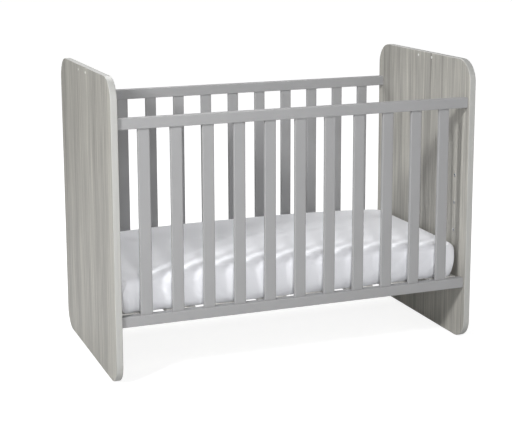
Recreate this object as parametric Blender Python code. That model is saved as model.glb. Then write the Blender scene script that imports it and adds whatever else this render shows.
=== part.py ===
"""Baby crib with two solid end panels, barred long sides, a height-adjustable slatted base and a mattress.

Frame: metres, +Z up. X runs along the crib, Y across it, and the origin is on the floor under its centre.
The end panels stand at -X and +X; the two long sides are made of a top rail, a bottom rail and upright slats.
"""

import math

import bmesh
import bpy

# ---- driving dimensions, in metres ---------------------------------------------------------------------
INNER_LENGTH = 1.200        # between the inner faces of the end panels
PANEL_THICK = 0.022
PANEL_WIDTH = 0.672         # an end panel across the crib
PANEL_HEIGHT = 0.962
PANEL_TOP_RADIUS = 0.075    # rounded upper corners
PANEL_FOOT_RADIUS = 0.066   # rounded lower corners
PANEL_EDGE_RADIUS = 0.0025

RAIL_INSET = 0.010          # rail face behind the panel's upright edge
RAIL_THICK = 0.026
TOP_RAIL_HEIGHT = 0.034
TOP_RAIL_TOP = 0.838
BOTTOM_RAIL_HEIGHT = 0.034
BOTTOM_RAIL_TOP = 0.218
RAIL_EDGE_RADIUS = 0.0022

SLATS_PER_SIDE = 11
SLAT_WIDTH = 0.0385
SLAT_THICK = 0.012
SLAT_EDGE_RADIUS = 0.003
TENON = 0.010               # how far a slat goes into a rail

INSERT_COLUMN = 0.2505      # Y of the two columns of threaded inserts
LOWEST_INSERT = 0.178
INSERT_STEP = 0.096
INSERT_ROWS = 5
INSERT_RADIUS = 0.0042
INSERT_DEPTH = 0.013

SLEEVE_DROP = 0.016         # sleeve centres below the panel's top edge
SLEEVE_SPACING = 0.096
SLEEVE_OFFSET = 0.022       # the pair sits off centre; one panel is the other turned half round
SLEEVE_RADIUS = 0.0045
SLEEVE_BORE = 0.0022

PIN_RADIUS = 0.0035
PIN_IN_PANEL = 0.011
PIN_IN_RAIL = 0.026
CAM_FROM_END = 0.024
CAM_RADIUS = 0.0075

BASE_GAP = 0.002            # base frame to each end panel
BASE_WIDTH = 0.548          # length of the base slats and of the end battens
BATTEN_THICK = 0.020
SIDE_BATTEN_THICK = 0.016
BATTEN_HEIGHT = 0.032
BASE_SLATS = 8
BASE_SLAT_WIDTH = 0.098
BASE_SLAT_THICK = 0.012
BASE_SLAT_EDGE = 0.002
BASE_TOP = 0.2123           # upper face of the base slats at the lowest height
SINK_RADIUS = 0.0042        # countersinks of the screws that hold a base slat to the side battens
SINK_DEPTH = 0.0016
SINK_OFFSET = 0.030         # from the slat's middle line

BOLT_RADIUS = 0.003
BOLT_HEAD_RADIUS = 0.0065
BOLT_HEAD_HEIGHT = 0.004

MATTRESS_LENGTH = 1.180
MATTRESS_WIDTH = 0.588
MATTRESS_HEIGHT = 0.138
MATTRESS_EDGE = 0.034

GAP = 0.0003                # between pieces that touch
CORNER_STEPS = 12
ROUND_SIDES = 16

HALF_LENGTH = INNER_LENGTH / 2
RAIL_Y = PANEL_WIDTH / 2 - RAIL_INSET - RAIL_THICK / 2
TOP_RAIL_Z = TOP_RAIL_TOP - TOP_RAIL_HEIGHT / 2
BOTTOM_RAIL_Z = BOTTOM_RAIL_TOP - BOTTOM_RAIL_HEIGHT / 2
SLAT_PITCH = (INNER_LENGTH + SLAT_WIDTH) / (SLATS_PER_SIDE + 1)
SLAT_FOOT = BOTTOM_RAIL_TOP - TENON + GAP
SLAT_HEAD = TOP_RAIL_TOP - TOP_RAIL_HEIGHT + TENON - GAP
BASE_HALF_LENGTH = HALF_LENGTH - BASE_GAP
BATTEN_Z = BASE_TOP - BASE_SLAT_THICK - GAP - BATTEN_HEIGHT / 2


# ---- helpers -------------------------------------------------------------------------------------------
def clear_scene():
    for item in list(bpy.data.objects):
        bpy.data.objects.remove(item, do_unlink=True)


def srgb(hex_colour):
    """Linear RGBA from an sRGB hex string."""
    values = [int(hex_colour[i:i + 2], 16) / 255 for i in (1, 3, 5)]
    linear = [v / 12.92 if v <= 0.04045 else ((v + 0.055) / 1.055) ** 2.4 for v in values]
    return (*linear, 1.0)


def make_material(name, hex_colour, roughness, metallic=0.0):
    material = bpy.data.materials.new(name)
    material.use_nodes = True
    shader = material.node_tree.nodes["Principled BSDF"]
    shader.inputs["Base Color"].default_value = srgb(hex_colour)
    shader.inputs["Roughness"].default_value = roughness
    shader.inputs["Metallic"].default_value = metallic
    return material


def add_object(name, bm, material, location=(0, 0, 0)):
    """Turns a bmesh into a named object with outward faces."""
    bmesh.ops.recalc_face_normals(bm, faces=bm.faces)
    mesh = bpy.data.meshes.new(name)
    bm.to_mesh(mesh)
    bm.free()
    mesh.shade_smooth()
    mesh.set_sharp_from_angle(angle=math.radians(35))
    item = bpy.data.objects.new(name, mesh)
    item.location = location
    bpy.context.collection.objects.link(item)
    if material is not None:
        mesh.materials.append(material)
    return item


def arc(centre, radius, start, end, steps):
    """Points of an arc in 2-D, both ends included; angles in degrees."""
    points = []
    for i in range(steps + 1):
        angle = math.radians(start + (end - start) * i / steps)
        points.append((centre[0] + radius * math.cos(angle), centre[1] + radius * math.sin(angle)))
    return points


def rounded_rectangle(width, height, upper_radius, lower_radius, steps):
    """Outline centred on the origin, counter-clockwise from its lower right corner."""
    w, h = width / 2, height / 2
    up, low = upper_radius, lower_radius
    outline = arc((w - low, -h + low), low, -90, 0, steps)
    outline += arc((w - up, h - up), up, 0, 90, steps)
    outline += arc((-w + up, h - up), up, 90, 180, steps)
    outline += arc((-w + low, -h + low), low, 180, 270, steps)
    return outline


def circle(radius, centre=(0, 0), sides=ROUND_SIDES):
    return arc(centre, radius, 0, 360 * (sides - 1) / sides, sides - 1)


def add_prism(bm, outline, axis, low, high):
    """Extrudes a 2-D outline along 'X', 'Y' or 'Z' from low to high."""
    def place(point, along):
        u, v = point
        if axis == "X":
            return (along, u, v)
        if axis == "Y":
            return (u, along, v)
        return (u, v, along)

    near = [bm.verts.new(place(p, low)) for p in outline]
    far = [bm.verts.new(place(p, high)) for p in outline]
    count = len(outline)
    for i in range(count):
        j = (i + 1) % count
        bm.faces.new((near[i], near[j], far[j], far[i]))
    bm.faces.new(near[::-1])
    bm.faces.new(far)


def add_turned(bm, profile, sides=ROUND_SIDES):
    """Revolves (x, radius) points about the X axis; both ends are capped."""
    rings = []
    for x, radius in profile:
        ring = [bm.verts.new((x, u, v)) for u, v in circle(radius, sides=sides)]
        rings.append(ring)
    for near, far in zip(rings, rings[1:]):
        for i in range(sides):
            j = (i + 1) % sides
            bm.faces.new((near[i], near[j], far[j], far[i]))
    bm.faces.new(rings[0][::-1])
    bm.faces.new(rings[-1])


def add_tube(bm, outer, bore, low, high, sides=ROUND_SIDES):
    """A straight sleeve along X with an open bore."""
    rings = []
    for x, radius in ((low, outer), (high, outer), (high, bore), (low, bore)):
        rings.append([bm.verts.new((x, u, v)) for u, v in circle(radius, sides=sides)])
    for k in range(4):
        near, far = rings[k], rings[(k + 1) % 4]
        for i in range(sides):
            j = (i + 1) % sides
            bm.faces.new((near[i], near[j], far[j], far[i]))


def add_cutter(name, bm, location=(0, 0, 0)):
    item = add_object(name, bm, None, location)
    item.hide_render = True
    item.display_type = "WIRE"
    return item


def cut(item, cutter):
    boolean = item.modifiers.new("cut_" + cutter.name, "BOOLEAN")
    boolean.operation = "DIFFERENCE"
    boolean.object = cutter


def round_edges(item, width, segments, angle=60):
    bevel = item.modifiers.new("round_edges", "BEVEL")
    bevel.width = width
    bevel.segments = segments
    bevel.limit_method = "ANGLE"
    bevel.angle_limit = math.radians(angle)
    bevel.use_clamp_overlap = False


# ---- end panels ----------------------------------------------------------------------------------------
def rail_places():
    """(name, y, z, height) of the four long rails."""
    for side, sign in (("front", -1), ("back", 1)):
        yield side + "_top_rail", sign * RAIL_Y, TOP_RAIL_Z, TOP_RAIL_HEIGHT
        yield side + "_bottom_rail", sign * RAIL_Y, BOTTOM_RAIL_Z, BOTTOM_RAIL_HEIGHT


def sleeve_places(sign):
    """Y of the two sleeves of the panel at sign * X."""
    middle = -sign * SLEEVE_OFFSET
    return (middle - SLEEVE_SPACING / 2, middle + SLEEVE_SPACING / 2)


def make_panel(name, sign, material):
    """A laminated board with rounded corners; holes are bored from its inner face."""
    outline = rounded_rectangle(PANEL_WIDTH, PANEL_HEIGHT, PANEL_TOP_RADIUS, PANEL_FOOT_RADIUS, CORNER_STEPS)
    bm = bmesh.new()
    add_prism(bm, outline, "X", -PANEL_THICK / 2, PANEL_THICK / 2)
    centre_x = sign * (HALF_LENGTH + PANEL_THICK / 2)
    panel = add_object(name, bm, material, (centre_x, 0, PANEL_HEIGHT / 2))
    round_edges(panel, PANEL_EDGE_RADIUS, 3)

    bores = bmesh.new()
    mouth = sign * (HALF_LENGTH - 0.002)
    for column in (-INSERT_COLUMN, INSERT_COLUMN):
        for row in range(INSERT_ROWS):
            place = (column, LOWEST_INSERT + row * INSERT_STEP)
            add_prism(bores, circle(INSERT_RADIUS, place), "X", mouth, sign * (HALF_LENGTH + INSERT_DEPTH))
    for _, y, z, _ in rail_places():
        bottom = sign * (HALF_LENGTH + PIN_IN_PANEL + GAP)
        add_prism(bores, circle(PIN_RADIUS + GAP, (y, z)), "X", mouth, bottom)
    for y in sleeve_places(sign):
        through = sign * (HALF_LENGTH + PANEL_THICK + 0.002)
        place = (y, PANEL_HEIGHT - SLEEVE_DROP)
        add_prism(bores, circle(SLEEVE_RADIUS + GAP, place), "X", mouth, through)
    cut(panel, add_cutter(name + "_bores", bores))
    return panel


def make_sleeve(name, sign, y, material):
    bm = bmesh.new()
    half = PANEL_THICK / 2 - GAP
    add_tube(bm, SLEEVE_RADIUS, SLEEVE_BORE, -half, half)
    centre_x = sign * (HALF_LENGTH + PANEL_THICK / 2)
    return add_object(name, bm, material, (centre_x, y, PANEL_HEIGHT - SLEEVE_DROP))


# ---- long sides ----------------------------------------------------------------------------------------
def slat_positions():
    first = -SLAT_PITCH * (SLATS_PER_SIDE - 1) / 2
    return [first + i * SLAT_PITCH for i in range(SLATS_PER_SIDE)]


def slat_outline(grow=0.0, x=0.0):
    """The slat's section in X and Y, enlarged all round by grow."""
    radius = SLAT_EDGE_RADIUS + grow
    section = rounded_rectangle(SLAT_WIDTH + 2 * grow, SLAT_THICK + 2 * grow, radius, radius, 3)
    return [(u + x, v) for u, v in section]


def make_rail(name, y, z, height, material):
    """A rail with a mortise for each slat, a pin bore in each end and a cam pocket under each end."""
    bm = bmesh.new()
    section = rounded_rectangle(RAIL_THICK, height, RAIL_EDGE_RADIUS, RAIL_EDGE_RADIUS, 2)
    add_prism(bm, section, "X", -HALF_LENGTH + GAP, HALF_LENGTH - GAP)
    rail = add_object(name, bm, material, (0, y, z))

    mortises = bmesh.new()
    if "top" in name:
        low, high = -height / 2 - 0.002, -height / 2 + TENON
    else:
        low, high = height / 2 - TENON, height / 2 + 0.002
    for x in slat_positions():
        add_prism(mortises, slat_outline(GAP, x), "Z", low, high)
    for sign in (-1, 1):
        inner = sign * (HALF_LENGTH - PIN_IN_RAIL - GAP)
        add_prism(mortises, circle(PIN_RADIUS + GAP), "X", inner, sign * (HALF_LENGTH + 0.002))
    cut(rail, add_cutter(name + "_mortises", mortises, (0, y, z)))

    pockets = bmesh.new()
    for sign in (-1, 1):
        place = (sign * (HALF_LENGTH - CAM_FROM_END), 0)
        pocket = circle(CAM_RADIUS, place, 20)
        add_prism(pockets, pocket, "Z", -height / 2 - 0.002, PIN_RADIUS + GAP)
    cut(rail, add_cutter(name + "_pockets", pockets, (0, y, z)))
    return rail


def make_slat(name, x, y, material):
    bm = bmesh.new()
    length = SLAT_HEAD - SLAT_FOOT
    add_prism(bm, slat_outline(), "Z", -length / 2, length / 2)
    return add_object(name, bm, material, (x, y, (SLAT_HEAD + SLAT_FOOT) / 2))


def make_pin(name, sign, y, z, material):
    """A turned connecting pin: threaded end in the panel, collar at the joint, neck and head in the rail."""
    bm = bmesh.new()
    neck = PIN_RADIUS * 0.6
    head_start = PIN_IN_RAIL - 0.0055
    profile = [
        (-PIN_IN_PANEL, PIN_RADIUS - 0.001),
        (-PIN_IN_PANEL + 0.0015, PIN_RADIUS),
        (0.0, PIN_RADIUS),
        (0.0015, neck),
        (head_start - 0.001, neck),
        (head_start, PIN_RADIUS),
        (PIN_IN_RAIL - 0.0012, PIN_RADIUS),
        (PIN_IN_RAIL, PIN_RADIUS - 0.0012),
    ]
    add_turned(bm, [(-sign * x, radius) for x, radius in profile])
    return add_object(name, bm, material, (sign * HALF_LENGTH, y, z))


# ---- mattress base -------------------------------------------------------------------------------------
def make_end_batten(name, sign, material):
    """The cross batten at one end of the base, bored for the two bolts that hold it to the panel."""
    bm = bmesh.new()
    outline = rounded_rectangle(BATTEN_THICK, BATTEN_HEIGHT, BASE_SLAT_EDGE, BASE_SLAT_EDGE, 2)
    add_prism(bm, outline, "Y", -BASE_WIDTH / 2, BASE_WIDTH / 2)
    centre_x = sign * (BASE_HALF_LENGTH - BATTEN_THICK / 2)
    batten = add_object(name, bm, material, (centre_x, 0, BATTEN_Z))
    bores = bmesh.new()
    for y in (-INSERT_COLUMN, INSERT_COLUMN):
        place = (y, LOWEST_INSERT - BATTEN_Z)
        add_prism(bores, circle(BOLT_RADIUS + GAP, place), "X", -BATTEN_THICK, BATTEN_THICK)
    cut(batten, add_cutter(name + "_bores", bores, (centre_x, 0, BATTEN_Z)))
    return batten


def make_side_batten(name, sign, material):
    bm = bmesh.new()
    outline = rounded_rectangle(SIDE_BATTEN_THICK, BATTEN_HEIGHT, BASE_SLAT_EDGE, BASE_SLAT_EDGE, 2)
    half = BASE_HALF_LENGTH - BATTEN_THICK - GAP
    add_prism(bm, outline, "X", -half, half)
    y = sign * (BASE_WIDTH - SIDE_BATTEN_THICK) / 2
    return add_object(name, bm, material, (0, y, BATTEN_Z))


def make_base_slat(name, x, material):
    """A board across the base, sunk for two screws at each end."""
    bm = bmesh.new()
    outline = rounded_rectangle(BASE_SLAT_WIDTH, BASE_SLAT_THICK, BASE_SLAT_EDGE, BASE_SLAT_EDGE, 2)
    add_prism(bm, outline, "Y", -BASE_WIDTH / 2, BASE_WIDTH / 2)
    middle = BASE_TOP - BASE_SLAT_THICK / 2
    slat = add_object(name, bm, material, (x, 0, middle))
    sinks = bmesh.new()
    for row in (-1, 1):
        for column in (-1, 1):
            place = (column * SINK_OFFSET, row * (BASE_WIDTH - SIDE_BATTEN_THICK) / 2)
            floor = BASE_SLAT_THICK / 2 - SINK_DEPTH
            add_prism(sinks, circle(SINK_RADIUS, place), "Z", floor, BASE_SLAT_THICK / 2 + 0.002)
    cut(slat, add_cutter(name + "_sinks", sinks, (x, 0, middle)))
    return slat


def make_base_bolt(name, sign, y, material):
    """A button-head bolt through the end batten; its shank stops at the panel's face."""
    bm = bmesh.new()
    head_face = BASE_HALF_LENGTH - BATTEN_THICK - GAP
    profile = [
        (head_face - BOLT_HEAD_HEIGHT, BOLT_HEAD_RADIUS * 0.62),
        (head_face - BOLT_HEAD_HEIGHT * 0.45, BOLT_HEAD_RADIUS * 0.94),
        (head_face - 0.0006, BOLT_HEAD_RADIUS),
        (head_face, BOLT_HEAD_RADIUS),
        (head_face, BOLT_RADIUS),
        (HALF_LENGTH - GAP, BOLT_RADIUS),
    ]
    add_turned(bm, [(sign * x, radius) for x, radius in profile])
    return add_object(name, bm, material, (0, y, LOWEST_INSERT))


# ---- mattress ------------------------------------------------------------------------------------------
def make_mattress(material):
    bm = bmesh.new()
    outline = rounded_rectangle(MATTRESS_LENGTH, MATTRESS_WIDTH, 0.055, 0.055, 6)
    add_prism(bm, outline, "Z", -MATTRESS_HEIGHT / 2, MATTRESS_HEIGHT / 2)
    mattress = add_object("mattress", bm, material, (0, 0, BASE_TOP + GAP + MATTRESS_HEIGHT / 2))
    round_edges(mattress, MATTRESS_EDGE, 4)
    return mattress


def main():
    clear_scene()
    laminate = make_material("grey_oak_laminate", "#A9A69D", 0.45)
    lacquer = make_material("grey_lacquer", "#A8A8AA", 0.40)
    cotton = make_material("white_cotton", "#E2E4EC", 0.90)
    white_pine = make_material("white_pine", "#E6E6E4", 0.50)
    zinc = make_material("zinc_plated_steel", "#C4C6C8", 0.35, 1.0)
    nylon = make_material("white_nylon", "#ECECEA", 0.45)

    for name, sign in (("left", -1), ("right", 1)):
        make_panel("end_panel_" + name, sign, laminate)
        for label, y in zip(("front", "back"), sleeve_places(sign)):
            make_sleeve("accessory_sleeve_" + name + "_" + label, sign, y, nylon)
        for rail, y, z, _ in rail_places():
            make_pin("pin_" + rail + "_" + name, sign, y, z, zinc)
        make_end_batten("base_end_batten_" + name, sign, white_pine)
        for label, y in (("front", -INSERT_COLUMN), ("back", INSERT_COLUMN)):
            make_base_bolt("base_bolt_" + name + "_" + label, sign, y, zinc)

    for rail, y, z, height in rail_places():
        make_rail(rail, y, z, height, lacquer)
    for side, sign in (("front", -1), ("back", 1)):
        for number, x in enumerate(slat_positions(), 1):
            make_slat("%s_slat_%02d" % (side, number), x, sign * RAIL_Y, lacquer)
        make_side_batten("base_side_batten_" + side, sign, white_pine)

    base_pitch = (2 * BASE_HALF_LENGTH - BASE_SLAT_WIDTH - 2 * GAP) / (BASE_SLATS - 1)
    for number in range(BASE_SLATS):
        x = (number - (BASE_SLATS - 1) / 2) * base_pitch
        make_base_slat("base_slat_%d" % (number + 1), x, white_pine)
    make_mattress(cotton)


main()
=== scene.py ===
# %% [markdown]
# # A baby crib, from bare solids to a finished picture
#
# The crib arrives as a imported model: 57 plain solids on three bodies, the crib frame, the
# mattress base and the mattress. Nothing in this lesson moves those solids. It gives each
# one the finish it has on the real crib, adds the small metal parts that the solids leave
# out, and makes the mattress and its fitted sheet as soft pieces.

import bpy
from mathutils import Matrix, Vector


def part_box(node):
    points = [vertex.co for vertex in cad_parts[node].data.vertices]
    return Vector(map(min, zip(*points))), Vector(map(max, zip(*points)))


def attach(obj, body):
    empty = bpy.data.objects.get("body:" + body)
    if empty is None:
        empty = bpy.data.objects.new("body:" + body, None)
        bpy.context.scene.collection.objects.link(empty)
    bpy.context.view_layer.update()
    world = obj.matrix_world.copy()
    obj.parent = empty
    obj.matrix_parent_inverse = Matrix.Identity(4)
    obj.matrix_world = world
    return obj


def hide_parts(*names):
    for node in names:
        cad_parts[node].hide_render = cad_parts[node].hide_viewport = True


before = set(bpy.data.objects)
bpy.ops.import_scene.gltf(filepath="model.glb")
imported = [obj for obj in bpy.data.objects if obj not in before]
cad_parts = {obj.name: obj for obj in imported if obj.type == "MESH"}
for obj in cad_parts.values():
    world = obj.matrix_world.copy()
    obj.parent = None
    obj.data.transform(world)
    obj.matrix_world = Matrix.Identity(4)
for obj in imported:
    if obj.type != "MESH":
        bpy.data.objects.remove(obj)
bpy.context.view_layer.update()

# %% [markdown]
# ## The tools of this lesson
#
# Everything is in metres with Z up. A person names a colour by its sRGB hex code, and a
# shader wants linear light, so one function turns the first into the second. A second
# function adds a node to a material, with its settings and the links into it, so that a
# material can be read from top to bottom. A third starts a material: values that are the
# same all over the surface go straight on the shader, where every renderer finds them.

# %% Helpers
import math

import bmesh
import bpy
from mathutils import Matrix, Vector, noise
from mathutils.bvhtree import BVHTree

MM = 0.001


def linear(code):
    """An sRGB hex colour such as #A9A69D as the linear RGBA that a shader wants."""
    parts = [int(code[i:i + 2], 16) / 255 for i in (1, 3, 5)]
    return [c / 12.92 if c <= 0.04045 else ((c + 0.055) / 1.055) ** 2.4 for c in parts] + [1.0]


def add(tree, kind, inputs=None, stops=None, **settings):
    """Adds a node. inputs maps a socket's identifier to a value, or to the socket that feeds it."""
    made = tree.nodes.new(kind)
    for name, value in settings.items():
        setattr(made, name, value)
    if stops:
        ramp = made.color_ramp.elements
        while len(ramp) < len(stops):
            ramp.new(1.0)
        for element, (position, color) in zip(ramp, stops):
            element.position = position
            element.color = linear(color) if isinstance(color, str) else (color, color, color, 1)
    for key, value in (inputs or {}).items():
        into = next(s for s in made.inputs if s.identifier == key)
        if isinstance(value, bpy.types.NodeSocket):
            tree.links.new(value, into)
        else:
            into.default_value = value
    return made


def finish_named(name, **constants):
    """A new material, its node tree and its shader, with the constants set on the shader."""
    made = bpy.data.materials.new(name)
    made.use_nodes = True
    shader = made.node_tree.nodes["Principled BSDF"]
    for key, value in constants.items():
        shader.inputs[key.replace("_", " ")].default_value = value
    return made, made.node_tree, shader


# %% [markdown]
# ## The end panels' laminate
#
# The two end panels are chipboard faced with a melamine foil that is printed with pale,
# grey-washed oak, all grain upright, and pressed with a fine pore. The print is what the
# eye sees: broad bands a hand wide, streaks of 5 to 15 mm, and hair-thin lines. An image
# could hold such a print, but it would repeat and blur. Noise that is squeezed across the
# grain and stretched along it gives streaks of any length without either fault.
#
# The cut edges are closed by a plastic edge band, 22 mm wide, which is plainer and a
# little lighter than the faces. A face lies 11 mm from the middle of the board, so the
# distance from that middle tells band from face.

# %% Melamine laminate: the printed oak
LAMINATE_DARK, LAMINATE_MID, LAMINATE_PALE = "#888681", "#A8A6A0", "#C2C0B7"


def stretched(tree, across, along):
    """The object's coordinates in units of across metres in X and Y, and along metres in Z."""
    place = add(tree, "ShaderNodeTexCoord")
    return add(tree, "ShaderNodeVectorMath", {
        "Vector": place.outputs["Object"],
        "Vector_001": (1 / across, 1 / across, 1 / along),
    }, operation="MULTIPLY").outputs["Vector"]


def printed_oak(tree, lines, pores):
    """The colour of a panel's face, from broad bands, streaks, hair-thin lines and pores."""
    bands = add(tree, "ShaderNodeTexNoise", {
        "Vector": stretched(tree, 60 * MM, 1500 * MM), "Scale": 1.0, "Detail": 1.0})
    streaks = add(tree, "ShaderNodeTexNoise", {
        "Vector": stretched(tree, 9 * MM, 420 * MM), "Scale": 1.0, "Detail": 3.0, "Roughness": 0.62})
    broad = add(tree, "ShaderNodeMix", {
        "Factor_Float": 0.42, "A_Float": streaks.outputs["Fac"], "B_Float": bands.outputs["Fac"]})
    both = add(tree, "ShaderNodeMix", {
        "Factor_Float": 0.38, "A_Float": broad.outputs["Result"], "B_Float": lines.outputs["Fac"]})
    grain = add(tree, "ShaderNodeValToRGB", {"Fac": both.outputs["Result"]}, stops=[
        (0.38, LAMINATE_DARK), (0.5, LAMINATE_MID), (0.63, LAMINATE_PALE)])
    pore_tone = add(tree, "ShaderNodeValToRGB", {"Fac": pores.outputs["Fac"]}, stops=[
        (0.30, 0.80), (0.42, 1.0)])
    return add(tree, "ShaderNodeMix", {
        "Factor_Float": 0.6, "A_Color": grain.outputs["Color"], "B_Color": pore_tone.outputs["Color"]},
        data_type="RGBA", blend_type="MULTIPLY")


# %% Melamine laminate: the edge band
BAND_DARK, BAND_PALE = "#AEAEAB", "#B8B8B5"
panel_low, panel_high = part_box("end_panel_right")
BOARD_MIDDLE = (panel_low.x + panel_high.x) / 2
BAND_REACH = (panel_high.x - panel_low.x) / 2 - 0.6 * MM      # the band is a hair narrower than the board


def plain_band(tree):
    """The colour of the edge band, with a trace of the grain."""
    band_lines = add(tree, "ShaderNodeTexNoise", {
        "Vector": stretched(tree, 3 * MM, 300 * MM), "Scale": 1.0, "Detail": 1.0})
    return add(tree, "ShaderNodeMix", {
        "Factor_Float": band_lines.outputs["Fac"], "A_Color": linear(BAND_DARK),
        "B_Color": linear(BAND_PALE)}, data_type="RGBA")


def on_face(tree):
    """1 on the panels' two faces and 0 on their edges."""
    place = add(tree, "ShaderNodeTexCoord")
    apart = add(tree, "ShaderNodeSeparateXYZ", {"Vector": place.outputs["Object"]})
    side = add(tree, "ShaderNodeMath", {"Value": apart.outputs["X"]}, operation="ABSOLUTE")
    off_middle = add(tree, "ShaderNodeMath", {
        "Value": side.outputs["Value"], "Value_001": BOARD_MIDDLE}, operation="SUBTRACT")
    distance = add(tree, "ShaderNodeMath", {"Value": off_middle.outputs["Value"]}, operation="ABSOLUTE")
    return add(tree, "ShaderNodeMath", {
        "Value": distance.outputs["Value"], "Value_001": BAND_REACH}, operation="GREATER_THAN")


# %% Melamine laminate: put together
def make_laminate():
    # Melamine resin: IOR 1.55, satin from the press plate's fine matt texture.
    made, tree, shader = finish_named("melamine_laminate_grey_oak", IOR=1.55)
    lines = add(tree, "ShaderNodeTexNoise", {
        "Vector": stretched(tree, 2.2 * MM, 160 * MM), "Scale": 1.0, "Detail": 2.0})
    # The pores are 0.3 mm wide on the real foil; 1.2 mm is the finest that still shows.
    pores = add(tree, "ShaderNodeTexNoise", {
        "Vector": stretched(tree, 1.2 * MM, 14 * MM), "Scale": 1.0, "Detail": 1.0})
    color = add(tree, "ShaderNodeMix", {
        "Factor_Float": on_face(tree).outputs["Value"],
        "A_Color": plain_band(tree).outputs["Result"],
        "B_Color": printed_oak(tree, lines, pores).outputs["Result"]}, data_type="RGBA")
    satin = add(tree, "ShaderNodeMapRange", {
        "Value": lines.outputs["Fac"], "To Min": 0.38, "To Max": 0.52})
    press = add(tree, "ShaderNodeBump", {
        "Height": pores.outputs["Fac"], "Strength": 0.25, "Distance": 0.05 * MM})
    tree.links.new(color.outputs["Result"], shader.inputs["Base Color"])
    tree.links.new(satin.outputs["Result"], shader.inputs["Roughness"])
    tree.links.new(press.outputs["Normal"], shader.inputs["Normal"])
    return made


LAMINATE = make_laminate()
print("made", LAMINATE.name)

# %% [markdown]
# ## The rails' and slats' lacquer
#
# Rails and slats are beech, sprayed with a grey satin lacquer. Sprayed lacquer is never
# quite smooth: it dries with a faint orange peel, a millimetre or two from hump to hump,
# and its tone and gloss drift a little from one hand's breadth to the next. The satin
# gloss gives a soft reflection. A flat grey would show neither, so two noises carry them.

# %% Grey satin lacquer, sprayed on beech
LACQUER_DARK, LACQUER_PALE = "#9B9B9C", "#A1A1A2"
DRIFTS_PER_METRE = 9.0      # one every 110 mm


def make_lacquer():
    # Acrylic: IOR 1.5, satin, with a reflection that the peel breaks up a little.
    made, tree, shader = finish_named("satin_lacquer_light_grey", IOR=1.5)
    place = add(tree, "ShaderNodeTexCoord")
    tone = add(tree, "ShaderNodeTexNoise", {
        "Vector": place.outputs["Object"], "Scale": DRIFTS_PER_METRE, "Detail": 2.0})
    color = add(tree, "ShaderNodeMix", {
        "Factor_Float": tone.outputs["Fac"], "A_Color": linear(LACQUER_DARK),
        "B_Color": linear(LACQUER_PALE)}, data_type="RGBA")
    # Orange peel: humps 1.6 mm apart, a few hundredths of a millimetre high.
    peel = add(tree, "ShaderNodeTexNoise", {
        "Vector": place.outputs["Object"], "Scale": 1 / (1.6 * MM), "Detail": 0.0})
    gloss = add(tree, "ShaderNodeMapRange", {
        "Value": tone.outputs["Fac"], "To Min": 0.34, "To Max": 0.44})
    bump = add(tree, "ShaderNodeBump", {
        "Height": peel.outputs["Fac"], "Strength": 0.12, "Distance": 0.05 * MM})
    tree.links.new(color.outputs["Result"], shader.inputs["Base Color"])
    tree.links.new(gloss.outputs["Result"], shader.inputs["Roughness"])
    tree.links.new(bump.outputs["Normal"], shader.inputs["Normal"])
    return made


LACQUER = make_lacquer()
print("made", LACQUER.name)

# %% [markdown]
# ## The base's white pine, the fittings' steel and nylon
#
# The base under the mattress is planed pine under a thin white lacquer. Late wood is
# harder than early wood, so the rings still stand up a little through the coat, and the
# white is a shade warmer over them. The bolts, pins, screws, inserts and locking discs
# are steel, barrel-plated with zinc. The four small sleeves near the panels' tops are
# moulded white nylon. Each could be one flat colour, but the coat over the rings, the
# tumbled zinc's uneven gloss and the nylon's slight cloud are what tell them apart.

# %% White lacquer over planed pine
RINGS_PER_METRE, RUNS_PER_METRE = 330.0, 4.0      # rings 3 mm apart, drawn out to 250 mm along a slat


def make_white_pine():
    # Acrylic again: IOR 1.5, semi-matt, the rings no more than faint ridges under it.
    made, tree, shader = finish_named("white_lacquer_on_pine", IOR=1.5, Roughness=0.42)
    place = add(tree, "ShaderNodeTexCoord")
    long_way = add(tree, "ShaderNodeVectorMath", {
        "Vector": place.outputs["Object"],
        "Vector_001": (RINGS_PER_METRE, RUNS_PER_METRE, RINGS_PER_METRE)}, operation="MULTIPLY")
    rings = add(tree, "ShaderNodeTexNoise", {
        "Vector": long_way.outputs["Vector"], "Scale": 1.0, "Detail": 2.0, "Distortion": 0.6})
    color = add(tree, "ShaderNodeValToRGB", {"Fac": rings.outputs["Fac"]}, stops=[
        (0.35, "#DDDCD6"), (0.5, "#E9E8E4"), (0.65, "#EEEEEB")])
    bump = add(tree, "ShaderNodeBump", {
        "Height": rings.outputs["Fac"], "Strength": 0.2, "Distance": 0.08 * MM})
    tree.links.new(color.outputs["Color"], shader.inputs["Base Color"])
    tree.links.new(bump.outputs["Normal"], shader.inputs["Normal"])
    return made


# %% Zinc-plated steel
def make_zinc():
    # Plated in a tumbling barrel: bright, with patches 1 to 2 mm wide of softer gloss.
    made, tree, shader = finish_named("zinc_plated_steel", Metallic=1.0)
    place = add(tree, "ShaderNodeTexCoord")
    grains = add(tree, "ShaderNodeTexNoise", {
        "Vector": place.outputs["Object"], "Scale": 1 / (1.5 * MM), "Detail": 2.0})
    color = add(tree, "ShaderNodeMix", {
        "Factor_Float": grains.outputs["Fac"], "A_Color": linear("#C3C6C9"),
        "B_Color": linear("#DCDDDF")}, data_type="RGBA")
    gloss = add(tree, "ShaderNodeMapRange", {
        "Value": grains.outputs["Fac"], "To Min": 0.26, "To Max": 0.42})
    tree.links.new(color.outputs["Result"], shader.inputs["Base Color"])
    tree.links.new(gloss.outputs["Result"], shader.inputs["Roughness"])
    return made


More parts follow.
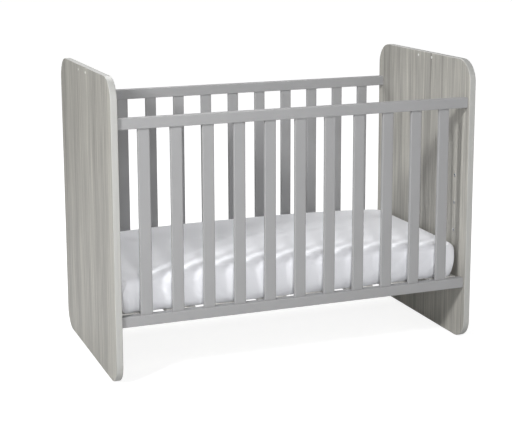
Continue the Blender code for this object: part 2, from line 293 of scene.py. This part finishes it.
# %% Moulded nylon
def make_nylon():
    # Nylon: IOR 1.53, semi-matt from the mould, very slightly cloudy.
    made, tree, shader = finish_named("moulded_white_nylon", IOR=1.53, Roughness=0.4)
    place = add(tree, "ShaderNodeTexCoord")
    cloud = add(tree, "ShaderNodeTexNoise", {
        "Vector": place.outputs["Object"], "Scale": 1 / (2 * MM), "Detail": 1.0})
    color = add(tree, "ShaderNodeMix", {
        "Factor_Float": cloud.outputs["Fac"], "A_Color": linear("#EDEDEA"),
        "B_Color": linear("#F4F4F1")}, data_type="RGBA")
    tree.links.new(color.outputs["Result"], shader.inputs["Base Color"])
    return made


WHITE_PINE, ZINC, NYLON = make_white_pine(), make_zinc(), make_nylon()
print("made", WHITE_PINE.name, ZINC.name, NYLON.name)

# %% [markdown]
# ## Each solid takes its finish
#
# Each solid belongs to one slot of the record, and its name says which. A table from slot
# to material then dresses all of them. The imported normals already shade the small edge
# radii smoothly, so nothing else is needed. The mattress's solid stays as it is: a soft
# piece will stand for it.

# %% Dress the solids
FINISH_OF_SLOT = {
    "panel_laminate": LAMINATE,
    "grey_lacquer": LACQUER,
    "white_pine": WHITE_PINE,
    "zinc_steel": ZINC,
    "white_nylon": NYLON,
}


def slot_of(name):
    """The record's slot for a solid, from the start of its name."""
    if name.startswith("end_panel"):
        return "panel_laminate"
    if name.startswith("accessory_sleeve"):
        return "white_nylon"
    if name.startswith(("base_bolt", "pin_")):
        return "zinc_steel"
    if name.startswith("base_"):
        return "white_pine"
    return "grey_lacquer"


for name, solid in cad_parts.items():
    if name != "mattress":
        solid.data.materials.clear()
        solid.data.materials.append(FINISH_OF_SLOT[slot_of(name)])
print("dressed", len(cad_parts) - 1, "solids")

# %% [markdown]
# ## The small steel parts
#
# Three kinds of small part are missing from the solids: the threaded inserts in the
# panels' two columns of holes, the locking discs that grip the rails' pins from below,
# and the countersunk screws that hold the base's slats. All are turned parts. A ready
# cylinder would have neither chamfer nor socket, so one function spins a profile of
# radii and heights round an axis. A ring can be six-sided, which makes the socket for a
# hexagon key. An insert's flange stands 0.6 mm proud of the panel, and all the rest sits
# in its own bore.

# %% From a shape to a piece
def piece_from(shape, name):
    """Turns a bmesh into a named object of the scene, with all its faces outward."""
    bmesh.ops.recalc_face_normals(shape, faces=shape.faces)
    mesh = bpy.data.meshes.new(name)
    shape.to_mesh(mesh)
    shape.free()
    piece = bpy.data.objects.new(name, mesh)
    bpy.context.scene.collection.objects.link(piece)
    return piece


def modified(piece, kind, **settings):
    """Adds a modifier, applies it, and takes the modifier away again."""
    tool = piece.modifiers.new("tool", kind)
    for name, value in settings.items():
        setattr(tool, name, value)
    bpy.context.view_layer.update()
    done = bpy.data.meshes.new_from_object(piece.evaluated_get(bpy.context.evaluated_depsgraph_get()))
    piece.modifiers.clear()
    piece.data = done
    return piece


def skin(shape, rows, closed=False):
    """Joins rows of points, each a ring, with faces, and fills the ends of an open stack."""
    pairs = list(zip(rows, rows[1:])) + ([(rows[-1], rows[0])] if closed else [])
    for under, over in pairs:
        for k in range(len(under)):
            shape.faces.new((under[k - 1], under[k], over[k], over[k - 1]))
    if not closed:
        shape.faces.new(list(reversed(rows[0])))
        shape.faces.new(rows[-1])


# %% A turned part
SIDES = 24
ROUND, HEX = False, True
SIXTH = math.pi / 3


def turned(shape, profile, centre, axis):
    """Spins rings of (radius in mm, height in mm, ROUND or HEX) round the axis through centre."""
    turn = Vector((0, 0, 1)).rotation_difference(Vector(axis)).to_matrix()
    rows = []
    for radius, height, kind in profile:
        row = []
        for k in range(SIDES):
            angle = 2 * math.pi * k / SIDES
            reach = radius * MM
            if kind is HEX:   # the distance to a hexagon's side in this direction
                reach *= math.cos(SIXTH / 2) / math.cos(angle % SIXTH - SIXTH / 2)
            spot = Vector((reach * math.cos(angle), reach * math.sin(angle), height * MM))
            row.append(shape.verts.new(Vector(centre) + turn @ spot))
        rows.append(row)
    skin(shape, rows)


def steel_piece(name, profile, places, body):
    """One mesh of the same turned part at many places, each a (centre, axis) pair."""
    shape = bmesh.new()
    for centre, axis in places:
        turned(shape, profile, centre, axis)
    piece = piece_from(shape, name)
    piece.data.materials.append(ZINC)
    piece.data.shade_smooth()
    modified(piece, "EDGE_SPLIT", split_angle=math.radians(35))
    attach(piece, body)
    print(name, "has", len(places), "parts")


# %% Threaded inserts in the panels
INSERT_Y, LOWEST, STEP, ROWS = 250.5 * MM, 178 * MM, 96 * MM, 5
INSERT = [(3.0, -12.0, ROUND), (4.0, -12.0, ROUND), (4.0, 0.0, ROUND), (6.2, 0.0, ROUND),
          (6.2, 0.35, ROUND), (5.9, 0.6, ROUND), (3.6, 0.6, ROUND), (3.0, 0.1, ROUND),
          (3.0, -11.4, ROUND), (0.4, -11.6, ROUND)]
for name, sign in (("left", -1), ("right", 1)):
    steel_piece("threaded_inserts_" + name, INSERT, [
        ((sign * panel_low.x, y, LOWEST + row * STEP), (-sign, 0, 0))
        for row in range(ROWS) for y in (-INSERT_Y, INSERT_Y)], "crib_frame")

# %% Locking discs under the rails' ends
DISC = [(0.4, 12.5, ROUND), (6.8, 12.5, ROUND), (7.2, 12.1, ROUND), (7.2, 0.4, ROUND),
        (6.9, 0.0, ROUND), (5.6, 0.0, ROUND), (5.3, 0.5, ROUND), (3.2, 0.5, ROUND),
        (2.6, 0.5, HEX), (2.6, 4.0, HEX), (0.4, 4.6, ROUND)]
DISC_FROM_END, RECESS = 24 * MM, 0.5 * MM
for rail in ("front_bottom_rail", "front_top_rail", "back_bottom_rail", "back_top_rail"):
    rail_low, rail_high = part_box(rail)
    rail_middle = (rail_low.y + rail_high.y) / 2
    steel_piece("locking_discs_" + rail, DISC, [
        ((end * (rail_high.x - DISC_FROM_END), rail_middle, rail_low.z + RECESS), (0, 0, 1))
        for end in (-1, 1)], "crib_frame")

# %% Countersunk screws in the base's slats
SCREW = [(0.3, -1.4, ROUND), (2.6, -1.4, ROUND), (4.0, -0.35, ROUND), (4.0, -0.15, ROUND),
         (2.0, -0.15, ROUND), (1.7, -0.15, HEX), (1.5, -0.9, HEX), (0.3, -1.1, ROUND)]
SCREW_ACROSS, SCREW_Y = 30 * MM, 266 * MM      # from a slat's middle line, and from the crib's
screw_places = []
for number in range(1, 9):
    slat_low, slat_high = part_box("base_slat_%d" % number)
    middle = (slat_low.x + slat_high.x) / 2
    screw_places += [((middle + across, y, slat_high.z), (0, 0, 1))
                     for across in (-SCREW_ACROSS, SCREW_ACROSS) for y in (-SCREW_Y, SCREW_Y)]
steel_piece("slat_screws", SCREW, screw_places, "mattress_base")

# %% [markdown]
# ## The mattress's two fabrics
#
# The sheet is plain-woven cotton, bleached, matt and a little cool in tone. Its fine
# fuzz catches light at a grazing angle, which the shader's sheen gives. The mattress
# below has a knitted ticking with small raised cells, so it must not share the weave.

# %% Woven cotton
THREAD = 1.5 * MM     # real threads lie 0.3 mm apart; 1.5 mm is the finest that a close view shows


def make_cotton():
    # Bleached cotton: IOR 1.5, matt, with the sheen of its fuzz.
    made, tree, shader = finish_named("woven_cotton_white", IOR=1.5, Roughness=0.85, Sheen_Weight=0.15)
    place = add(tree, "ShaderNodeTexCoord")
    cloud = add(tree, "ShaderNodeTexNoise", {
        "Vector": place.outputs["Object"], "Scale": 1 / (2 * MM), "Detail": 1.0})
    color = add(tree, "ShaderNodeMix", {
        "Factor_Float": cloud.outputs["Fac"], "A_Color": linear("#F2F3F8"),
        "B_Color": linear("#F8F9FD")}, data_type="RGBA")
    # Warp runs along the mattress; weft runs over its top and down its sides.
    waves = []
    for direction in ((1, 0, 0), (0, 1, 1)):
        along = add(tree, "ShaderNodeVectorMath", {
            "Vector": place.outputs["Object"],
            "Vector_001": [2 * math.pi / THREAD * part for part in direction]},
            operation="DOT_PRODUCT")
        waves.append(add(tree, "ShaderNodeMath", {"Value": along.outputs["Value"]}, operation="SINE"))
    weave = add(tree, "ShaderNodeMath", {
        "Value": waves[0].outputs["Value"], "Value_001": waves[1].outputs["Value"]},
        operation="MULTIPLY")
    bump = add(tree, "ShaderNodeBump", {
        "Height": weave.outputs["Value"], "Strength": 0.15, "Distance": 0.08 * MM})
    tree.links.new(color.outputs["Result"], shader.inputs["Base Color"])
    tree.links.new(bump.outputs["Normal"], shader.inputs["Normal"])
    return made


# %% Knitted ticking
CELL = 7 * MM         # from one raised cell to the next


def make_ticking():
    # Polyester yarn, knitted double: matt, each cell a soft hump.
    made, tree, shader = finish_named("knitted_ticking_white", IOR=1.5, Roughness=0.9)
    place = add(tree, "ShaderNodeTexCoord")
    cells = add(tree, "ShaderNodeTexVoronoi", {
        "Vector": place.outputs["Object"], "Scale": 1 / CELL, "Randomness": 0.15})
    color = add(tree, "ShaderNodeValToRGB", {"Fac": cells.outputs["Distance"]}, stops=[
        (0.1, "#F1F0EC"), (0.7, "#E2E1DC")])
    bump = add(tree, "ShaderNodeBump", {
        "Height": cells.outputs["Distance"], "Strength": 0.4, "Distance": 0.6 * MM})
    tree.links.new(color.outputs["Color"], shader.inputs["Base Color"])
    tree.links.new(bump.outputs["Normal"], shader.inputs["Normal"])
    return made


COTTON, TICKING = make_cotton(), make_ticking()
print("made", COTTON.name, TICKING.name)

# %% [markdown]
# ## The mattress pad
#
# A cot mattress is a block of foam in a knitted cover. It is flat below, where it lies on
# the slats, and slightly crowned above, with sides that draw in towards their foot. A
# bevelled box has flat faces and no crown. A lofted stack of rounded rectangles gives the
# whole form: each ring is the mattress's plan at one height, drawn in by so much. A voxel
# remesh then gives it the even faces that a cloth simulation needs.

# %% Pad: a stack of rounded rectangles
low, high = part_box("mattress")
PAD_BOTTOM = low.z + 3.2 * MM      # the sheet's turned-under edge lies below it
PAD_TOP = high.z + 0.2 * MM
HALF_LENGTH, HALF_WIDTH = high.x + 1.0 * MM, high.y - 3.0 * MM
PLAN_RADIUS, TOP_EDGE, BOTTOM_EDGE = 34 * MM, 34 * MM, 26 * MM
LEAN = 7 * MM                      # how far the sides draw in at their foot
END_DROP, SIDE_DROP = 19 * MM, 5 * MM
VOXEL = 9 * MM


def crown(x, y):
    """How far the top lies below its highest point, over a point of the plan."""
    return END_DROP * abs(x / HALF_LENGTH) ** 2.6 + SIDE_DROP * abs(y / HALF_WIDTH) ** 3


CORNERS = ((1, 1), (-1, 1), (-1, -1), (1, -1))      # anticlockwise, seen from above


def plan_ring(inset, steps=14, along=34, wide=16):
    """The points of a rounded rectangle drawn in by inset, the same number in every ring."""
    radius = max(PLAN_RADIUS - inset, 2 * MM)
    cx, cy = HALF_LENGTH - inset - radius, HALF_WIDTH - inset - radius
    points = []
    for quarter, (sx, sy) in enumerate(CORNERS):
        for k in range(steps):
            turn = math.pi / 2 * (quarter + k / steps)
            points.append((sx * cx + radius * math.cos(turn), sy * cy + radius * math.sin(turn)))
        square = math.pi / 2 * (quarter + 1)
        dx, dy = radius * math.cos(square), radius * math.sin(square)
        nx, ny = CORNERS[(quarter + 1) % 4]
        straight = along if quarter % 2 == 0 else wide
        for k in range(straight):
            t = k / straight
            points.append((cx * (sx + t * (nx - sx)) + dx, cy * (sy + t * (ny - sy)) + dy))
    return points


# %% Pad: its rings, from below to above
def pad_rings(grow=0.0):
    """(inset, height, share of the crown) from the middle of the bottom to the middle of the top."""
    rings = [(inset, PAD_BOTTOM - grow, 0.0) for inset in (0.26, 0.20, 0.15, 0.11, 0.08, 0.05)]
    for k in range(7):
        c, s = math.cos(math.pi / 2 * k / 6), math.sin(math.pi / 2 * k / 6)
        rings.append((LEAN + BOTTOM_EDGE * (1 - s) - grow * s,
                      PAD_BOTTOM + BOTTOM_EDGE * (1 - c) - grow * c, 0.0))
    for k in range(9):
        c, s = math.cos(math.pi / 2 * k / 8), math.sin(math.pi / 2 * k / 8)
        rings.append((TOP_EDGE * (1 - c) - grow * c,
                      PAD_TOP - TOP_EDGE * (1 - s) + grow * s, 0.35 + 0.65 * k / 8))
    return rings + [(inset, PAD_TOP + grow, 1.0) for inset in (0.06, 0.08, 0.11, 0.14, 0.18, 0.22, 0.26)]


def lofted(name, rings):
    """A closed mesh through the rings."""
    shape = bmesh.new()
    skin(shape, [[shape.verts.new((x, y, z - share * crown(x, y))) for x, y in plan_ring(inset)]
                 for inset, z, share in rings])
    return piece_from(shape, name)


pad = modified(lofted("mattress_pad", pad_rings()), "REMESH", mode="VOXEL", voxel_size=VOXEL)
print("pad:", len(pad.data.polygons), "faces")

# %% [markdown]
# ## The fitted sheet
#
# A fitted sheet is one flat piece of cotton with its corners sewn to boxes and an elastic
# in its hem. The elastic holds the hem under the mattress, and the cloth between hem and
# hem lies a little loose. It could be drawn by hand as a smooth skin, but the slack is
# what makes it cloth. So it starts as a shell round the pad, open below.

# %% Sheet: a loose shell round the pad, open below
HEM_TURNED_UNDER, SHEET_OFF_PAD = 90 * MM, 2.2 * MM
sheet = modified(lofted("fitted_sheet", pad_rings(SHEET_OFF_PAD)), "REMESH", mode="VOXEL", voxel_size=VOXEL)
shell = bmesh.new()
shell.from_mesh(sheet.data)
middles = [(f, f.calc_center_median()) for f in shell.faces]
opening = [f for f, middle in middles if middle.z < PAD_BOTTOM
           and abs(middle.x) < HALF_LENGTH - HEM_TURNED_UNDER
           and abs(middle.y) < HALF_WIDTH - HEM_TURNED_UNDER]
bmesh.ops.delete(shell, geom=opening, context="FACES")
shell.to_mesh(sheet.data)
shell.free()
print("sheet:", len(sheet.data.polygons), "faces")

# %% [markdown]
# ## The sheet settles
#
# The cloth simulation holds the part that lies under the mattress, as the elastic and the
# mattress's weight do. The rest gets 1.6% of spare length and falls on the pad, which
# gives it soft folds. The run is a short one, of eighteen frames, to keep the script quick.

# %% Sheet: which part the elastic holds
CLOTH_FRAMES = 18
SPARE_LENGTH = 0.016
CLEAR_OF_PAD = 1.2 * MM
HELD_FADE = 40 * MM


def hem_group(piece):
    """A vertex group: 1 at the hem's edge, 0 from HELD_FADE outwards and above the pad's bottom."""
    group = piece.vertex_groups.new(name="hem")
    for v in piece.data.vertices:
        inward = min(HALF_LENGTH - abs(v.co.x), HALF_WIDTH - abs(v.co.y))
        weight = min(1.0, (inward - HEM_TURNED_UNDER + HELD_FADE) / HELD_FADE)
        if weight > 0 and v.co.z <= PAD_BOTTOM:
            group.add([v.index], weight, "REPLACE")
    return group.name


# %% Sheet: a short cloth simulation over the pad
def settle(sheet, pad):
    """Runs the cloth on the sheet, applies it, and gives the mean and the largest move."""
    started = [v.co.copy() for v in sheet.data.vertices]
    group = hem_group(sheet)
    solid = pad.modifiers.new("solid", "COLLISION")
    pad.collision.thickness_outer = 1.0 * MM
    pad.collision.cloth_friction = 12.0
    cloth = sheet.modifiers.new("cloth", "CLOTH")
    it = cloth.settings
    it.quality = 6
    it.mass = 0.15
    it.tension_stiffness = it.compression_stiffness = 18
    it.shear_stiffness = 8
    it.bending_stiffness = 0.25
    it.vertex_group_mass = group
    it.shrink_min = -SPARE_LENGTH
    cloth.collision_settings.distance_min = CLEAR_OF_PAD
    cloth.collision_settings.collision_quality = 3
    scene = bpy.context.scene
    scene.frame_start, scene.frame_end = 1, CLOTH_FRAMES
    for frame_number in range(1, CLOTH_FRAMES + 1):
        scene.frame_set(frame_number)
    settled = bpy.data.meshes.new_from_object(sheet.evaluated_get(bpy.context.evaluated_depsgraph_get()))
    sheet.modifiers.clear()
    pad.modifiers.remove(solid)
    sheet.data = settled
    scene.frame_set(1)
    moved = [(a - b.co).length for a, b in zip(started, sheet.data.vertices)]
    return sum(moved) / len(moved), max(moved)


print("moved, mean and most in mm:", [round(1000 * m, 1) for m in settle(sheet, pad)])

# %% [markdown]
# ## Gathers at the corners, and room to lie in
#
# Near its corners a fitted sheet stands in small upright folds, where the elastic below
# draws in more cloth than the side needs. They are narrower than the simulation's faces,
# so a wave pushes them out after one level of subdivision. The last step lifts every
# point off the pad, and keeps it short of the panels, the rails and the slats.

# %% Sheet: gathers near the corners
PUCKER_DEPTH, PUCKER_SPACING = 2.4 * MM, 17 * MM
PUCKER_MIDDLE, PUCKER_SPREAD = 60 * MM, 55 * MM      # where they are, measured from a corner
PUCKER_TOP, PUCKER_FADE = PAD_TOP - 24 * MM, 90 * MM  # where they end, and how far below they are full


def pucker(point):
    """How far a point of the side stands out: deepest at the foot, where the elastic draws it in."""
    on_end = abs(point.x) > HALF_LENGTH - 20 * MM
    from_corner = HALF_WIDTH - abs(point.y) if on_end else HALF_LENGTH - abs(point.x)
    near = max(0.0, 1 - abs(from_corner - PUCKER_MIDDLE) / PUCKER_SPREAD)
    low_down = max(0.0, min(1.0, (PUCKER_TOP - point.z) / PUCKER_FADE))
    wave = math.sin(2 * math.pi * from_corner / PUCKER_SPACING + 1.7 * noise.noise(point * 9))
    return PUCKER_DEPTH * near * low_down * (0.5 + 0.5 * wave)


modified(sheet, "SUBSURF", levels=1, render_levels=1)
outward = [v.normal.copy() for v in sheet.data.vertices]     # read before any point moves
for v, normal in zip(sheet.data.vertices, outward):
    if v.co.z > PAD_BOTTOM + 6 * MM:
        v.co += normal * pucker(v.co)

# %% Sheet: keep it in its room
ROOM_X, ROOM_Y = 597 * MM, 298.6 * MM      # just short of the panels and of the rails
BASE_TOP = low.z + 0.2 * MM                # a hair above the slats that the mattress lies on


def fit_in_room(sheet, pad):
    """Lifts the sheet out of the pad, and keeps it off the panels, the rails and the slats."""
    bpy.context.view_layer.update()
    inside = BVHTree.FromObject(pad, bpy.context.evaluated_depsgraph_get())
    for v in sheet.data.vertices:
        near, normal, _, _ = inside.find_nearest(v.co)
        height = (v.co - near).dot(normal)
        if height < CLEAR_OF_PAD:
            v.co += normal * (CLEAR_OF_PAD - height)
        v.co.x = max(-ROOM_X, min(ROOM_X, v.co.x))
        v.co.y = max(-ROOM_Y, min(ROOM_Y, v.co.y))
        v.co.z = max(BASE_TOP, v.co.z)


fit_in_room(sheet, pad)
reach = [max(abs(v.co[k]) for v in sheet.data.vertices) for k in range(3)]
print("sheet reaches, in mm:", [round(1000 * side, 1) for side in reach])

# %% [markdown]
# ## Seams and elastic hem
#
# Each corner of the sheet is closed by one upright seam, and its raw edges make a thin
# ridge. The hem below is folded over a flat elastic, 8 mm wide, that gathers it into
# short waves. Both are swept sections: a small oval that follows a line of points, the
# seam's line found by looking at the sheet from outside, corner by corner.

# %% A sewn edge: an oval swept along a line
OVAL = [2 * math.pi * s / 10 for s in range(10)]


def swept(shape, path, wide, thick, closed):
    """A tube of oval section along the path; wide is its size level with the floor."""
    rows = []
    for k, spot in enumerate(path):
        ahead = path[(k + 1) % len(path)] if closed or k + 1 < len(path) else spot
        behind = path[k - 1] if closed or k > 0 else spot
        run = (ahead - behind).normalized()
        level = run.cross(Vector((0, 0, 1)))
        if level.length <= 0.2:      # the path runs nearly upright here
            level = Vector((spot.y, -spot.x, 0))
        level = level.normalized()
        other = run.cross(level)
        rows.append([shape.verts.new(spot + level * (wide / 2 * math.cos(turn))
                                     + other * (thick / 2 * math.sin(turn))) for turn in OVAL])
    skin(shape, rows, closed)


def sewn_piece(name, paths, wide, thick, closed):
    """One mesh of the same sewn edge along each of the paths."""
    shape = bmesh.new()
    for path in paths:
        swept(shape, path, wide, thick, closed)
    return piece_from(shape, name)


# %% Corner seams
SEAM_POINTS = 26
SEAM_FOOT, SEAM_SPAN = PAD_BOTTOM + 12 * MM, PAD_TOP - PAD_BOTTOM - 46 * MM
bpy.context.view_layer.update()
cloth_face = BVHTree.FromObject(sheet, bpy.context.evaluated_depsgraph_get())
seam_paths = []
for sx, sy in CORNERS:
    out = Vector((sx, sy, 0)).normalized()
    heart = Vector((sx * (HALF_LENGTH - PLAN_RADIUS), sy * (HALF_WIDTH - PLAN_RADIUS), 0))
    path = []
    for k in range(SEAM_POINTS):
        z = SEAM_FOOT + k / (SEAM_POINTS - 1) * SEAM_SPAN
        hit, _, _, _ = cloth_face.ray_cast(heart + out * 0.2 + Vector((0, 0, z)), -out)
        if hit:
            path.append(hit + out * 0.2 * MM)
    seam_paths.append(path)
seams = sewn_piece("sheet_corner_seams", seam_paths, 2.0 * MM, 1.6 * MM, False)
print("seams:", [len(path) for path in seam_paths], "points")

# %% Elastic hem
GATHER, GATHER_STEPS = 2.2 * MM, 5      # height of a gather, and points of the line in each
hem_path = []
for k, (x, y) in enumerate(plan_ring(HEM_TURNED_UNDER, steps=10, along=210, wide=80)):
    wave = math.sin(2 * math.pi * k / GATHER_STEPS)
    outwards = Vector((x, y, 0)).normalized()
    hem_path.append(Vector((x, y, BASE_TOP + 1.5 * MM)) - outwards * (GATHER * wave))
hem = sewn_piece("sheet_elastic_hem", [hem_path], 8.0 * MM, 2.2 * MM, True)
print("hem:", len(hem_path), "points")

# %% Dress the mattress and say what its pieces are
for piece, fabric in ((pad, TICKING), (sheet, COTTON), (seams, COTTON), (hem, COTTON)):
    piece.data.materials.clear()
    piece.data.materials.append(fabric)
    piece.data.shade_smooth()
    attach(piece, "mattress")
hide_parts("mattress")

# %% [markdown]
# ## The studio
#
# The crib stands on a white light table in a white surround. Both look white to the camera, the table's
# glow a little dimmer round the crib as a painted shadow, and the crib gets from them only what a white
# room would send back, which a switch on the kind of ray allows. A plain white room would wash out every
# shadow.

# %% White surround
bpy.context.scene.view_settings.view_transform = "Standard"
SURROUND_LIGHT = 0.06     # the surround looks white, and lights the crib only this much
world = bpy.data.worlds.new("studio_surround")
world.use_nodes = True
surround = world.node_tree.nodes["Background"]
surround.inputs["Color"].default_value = linear("#FFFFFF")
ray_kind = add(world.node_tree, "ShaderNodeLightPath")
seen = add(world.node_tree, "ShaderNodeMapRange", {
    "Value": ray_kind.outputs["Is Camera Ray"], "To Min": SURROUND_LIGHT, "To Max": 1.0})
world.node_tree.links.new(seen.outputs["Result"], surround.inputs["Strength"])
bpy.context.scene.world = world

# %% Light table
def make_light_table():
    """White acrylic, lit from below for the camera only, its glow dimmed near the crib as a painted shadow.
    The crib gets a white floor's bounce.
    """
    made = bpy.data.materials.new("studio_light_table")
    made.use_nodes = True
    tree = made.node_tree
    tree.nodes.clear()
    ray = add(tree, "ShaderNodeLightPath")
    white = add(tree, "ShaderNodeBsdfDiffuse", {"Color": (0.68, 0.68, 0.68, 1)})
    # The glow is a little weaker below the crib, a painted shadow under it, and full from 4 m away from it.
    place = add(tree, "ShaderNodeTexCoord")
    away = add(tree, "ShaderNodeVectorMath", {"Vector": place.outputs["Object"]}, operation="LENGTH")
    level = add(tree, "ShaderNodeMapRange", {
        "Value": away.outputs["Value"], "From Min": 0.6, "From Max": 4.0,
        "To Min": 0.82, "To Max": 1.0})
    glow = add(tree, "ShaderNodeEmission", {
        "Color": linear("#FFFFFF"), "Strength": level.outputs["Result"]})
    matt = add(tree, "ShaderNodeBsdfDiffuse", {"Color": (0.4, 0.4, 0.4, 1)})
    lit = add(tree, "ShaderNodeAddShader")
    tree.links.new(glow.outputs["Emission"], lit.inputs[0])
    tree.links.new(matt.outputs["BSDF"], lit.inputs[1])
    either = add(tree, "ShaderNodeMixShader", {"Fac": ray.outputs["Is Camera Ray"]})
    tree.links.new(white.outputs["BSDF"], either.inputs[1])
    tree.links.new(lit.outputs["Shader"], either.inputs[2])
    add(tree, "ShaderNodeOutputMaterial", {"Surface": either.outputs["Shader"]})
    return made


ground = bmesh.new()
bmesh.ops.create_grid(ground, x_segments=8, y_segments=8, size=60.0)
floor = piece_from(ground, "studio_floor")
floor.location.z = -1.5 * MM
floor.data.materials.append(make_light_table())
print("made", floor.name)

# %% [markdown]
# ## The lamps
#
# A small soft box high on the left is the key: it throws the slats' shadows across the
# right panel. A second box, from near the lens, lights the mattress between the slats. A
# large, weak wall of light in front opens the shadows, a box behind and above lights the
# tops, and a last, weak one on the right reaches into the key's shadows.

# %% Lights
def soft_box(name, place, aim, size, power):
    """A rectangular lamp of size metres at place, turned to aim, of power watts."""
    lamp = bpy.data.lights.new(name, "AREA")
    lamp.shape = "RECTANGLE"
    lamp.size, lamp.size_y = size
    lamp.energy = power
    box = bpy.data.objects.new(name, lamp)
    box.location = place
    box.rotation_euler = (Vector(aim) - Vector(place)).to_track_quat("-Z", "Y").to_euler()
    box.visible_camera = False
    bpy.context.scene.collection.objects.link(box)
    print(name, power, "W")


soft_box("key_left", (-3.1, -1.9, 2.3), (0.2, 0, 0.5), (0.5, 0.5), 109)
soft_box("key_right", (1.5, -3.0, 2.6), (0, 0, 0.5), (1.0, 1.0), 15)
soft_box("front_middle", (-1.0, -4.9, 1.9), (0, 0, 0.4), (0.8, 0.8), 82)
soft_box("front_wall", (0, -4.56, 2.53), (0, 0, 0.5), (5.8, 5.0), 20)
soft_box("top_back", (0, 2, 3), (0, 0, 0.5), (3.0, 2.0), 86)

# %% [markdown]
# ## The camera
#
# A long lens, about 4.5 m away on the front left and a little above the crib, so that the
# far side is not much smaller than the near one. It looks down by 11 degrees, and a shift
# of the lens sets the crib's height in the frame.

# %% Camera
AZIMUTH, ELEVATION, ROLL = math.radians(-20.946), math.radians(10.671), math.radians(-0.203)
back = Vector((math.sin(AZIMUTH) * math.cos(ELEVATION),
               -math.cos(AZIMUTH) * math.cos(ELEVATION), math.sin(ELEVATION)))
right = (-back).cross(Vector((0, 0, 1))).normalized()
up = right.cross(-back)
across = right * math.cos(ROLL) + up * math.sin(ROLL)
upward = up * math.cos(ROLL) - right * math.sin(ROLL)
lens = bpy.data.cameras.new("camera")
lens.lens = 89.65
lens.sensor_width = 36.0
lens.shift_y = -0.118
lens.clip_end = 100.0
camera = bpy.data.objects.new("camera", lens)
camera.matrix_world = Matrix((across, upward, back)).transposed().to_4x4()
camera.location = (-1.55808, -3.99103, 1.43690)
bpy.context.scene.collection.objects.link(camera)
bpy.context.scene.camera = camera
print("camera", round(camera.location.length, 2), "m from the crib's foot")

# %% [markdown]
# ## The last step
#
# The scene is brought up to date.

bpy.context.view_layer.update()
